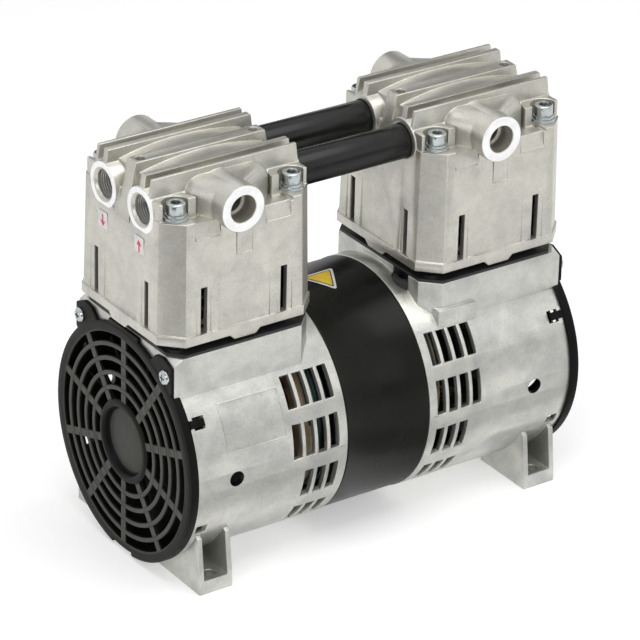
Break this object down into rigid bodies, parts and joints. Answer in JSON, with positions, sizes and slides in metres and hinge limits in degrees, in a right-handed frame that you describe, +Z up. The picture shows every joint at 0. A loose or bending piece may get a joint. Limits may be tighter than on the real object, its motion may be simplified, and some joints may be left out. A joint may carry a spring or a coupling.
{
  "type": "piston vacuum pump",
  "caption": "Oil-free piston vacuum pump: motor between two crankcases, ribbed cylinder heads with ports joined by tubes, fans behind grilles, on cast feet.",
  "frame": {"origin": "on the plane under the feet, below the middle of the motor", "axes": "+X along the shaft from the end with the stickers to the other end, +Y to the side away from the viewer, +Z up"},
  "size_m": [0.2556, 0.1314, 0.227],
  "materials": {
    "cast_aluminium": "bare die-cast skin, matt with darker mottling",
    "black_paint": "satin black enamel",
    "lamination_steel": "stacked sheet edges",
    "winding": "varnished copper winding tied with pale tape",
    "lead_insulation": "coloured lead sleeve",
    "bright_steel": "ground steel",
    "rubber": "matt black rubber",
    "black_plastic": "moulded black plastic, fine grain",
    "zinc_plate": "bright zinc plate, faintly blue",
    "machined_aluminium": "turned and bored",
    "gasket_sheet": "fibre gasket sheet",
    "valve_steel": "ground plate",
    "black_tube": "black anodised, satin",
    "dark_steel": "blackened spring steel",
    "cast_iron": "as cast, bored",
    "bronze": "sintered bronze",
    "filled_ptfe": "brown filled sealing plastic"
  },
  "bodies": {
    "housing": {"crankcase_front": "cast_aluminium", "crankcase_rear": "cast_aluminium", "stator_shell": "black_paint", "stator_core": "lamination_steel", "stator_winding": "winding", "lead_wires": "lead_insulation", "tie_bolts": "bright_steel", "main_bearings": "bright_steel", "lead_grommet": "rubber", "fan_cover_front": "black_plastic", "fan_cover_rear": "black_plastic", "fan_cover_screws": "zinc_plate", "base_plate_front": "black_paint", "base_plate_rear": "black_paint", "cylinder_front": "machined_aluminium", "cylinder_rear": "machined_aluminium", "cylinder_gasket_front": "gasket_sheet", "cylinder_gasket_rear": "gasket_sheet", "valve_plate_front": "valve_steel", "valve_plate_rear": "valve_steel", "reed_valves_front": "valve_steel", "reed_valves_rear": "valve_steel", "reed_stops_front": "valve_steel", "reed_stops_rear": "valve_steel", "head_gasket_front": "gasket_sheet", "head_gasket_rear": "gasket_sheet", "cylinder_head_front": "cast_aluminium", "cylinder_head_rear": "cast_aluminium", "head_screws": "zinc_plate", "spring_washers": "zinc_plate", "flat_washers": "zinc_plate", "tube_near": "black_tube", "tube_far": "black_tube", "tube_seals": "rubber"},
    "rotor": {"shaft": "bright_steel", "rotor_core": "lamination_steel", "rotor_cage": "machined_aluminium", "fan_front": "black_plastic", "fan_rear": "black_plastic", "fan_clips": "dark_steel", "eccentric_front": "cast_iron", "eccentric_rear": "cast_iron", "set_screws": "dark_steel"},
    "rod_front": {"connecting_rod_front": "machined_aluminium", "rod_bearing_front": "bright_steel", "pin_bush_front": "bronze", "wrist_pin_front": "bright_steel"},
    "rod_rear": {"connecting_rod_rear": "machined_aluminium", "rod_bearing_rear": "bright_steel", "pin_bush_rear": "bronze", "wrist_pin_rear": "bright_steel"},
    "piston_front": {"piston_front": "machined_aluminium", "piston_ring_front": "filled_ptfe"},
    "piston_rear": {"piston_rear": "machined_aluminium", "piston_ring_rear": "filled_ptfe"}
  },
  "joints": [
    {"name": "shaft_spin", "type": "hinge", "parent": "housing", "child": "rotor", "pos_m": [0, 0, 0.066], "axis": [1, 0, 0], "continuous": true},
    {"name": "crank_pin_front", "type": "hinge", "parent": "rotor", "child": "rod_front", "pos_m": [-0.0806, 0, 0.0725], "axis": [1, 0, 0], "continuous": true},
    {"name": "crank_pin_rear", "type": "hinge", "parent": "rotor", "child": "rod_rear", "pos_m": [0.0806, 0, 0.0595], "axis": [1, 0, 0], "continuous": true},
    {"name": "piston_stroke_front", "type": "slide", "parent": "housing", "child": "piston_front", "axis": [0, 0, 1], "range_m": [-0.013, 0]},
    {"name": "piston_stroke_rear", "type": "slide", "parent": "housing", "child": "piston_rear", "axis": [0, 0, 1], "range_m": [0, 0.013]}
  ],
  "couplings": [
    {"joint": "crank_pin_front", "follows": "shaft_spin", "ratio": -1},
    {"joint": "crank_pin_rear", "follows": "shaft_spin", "ratio": -1}
  ]
}
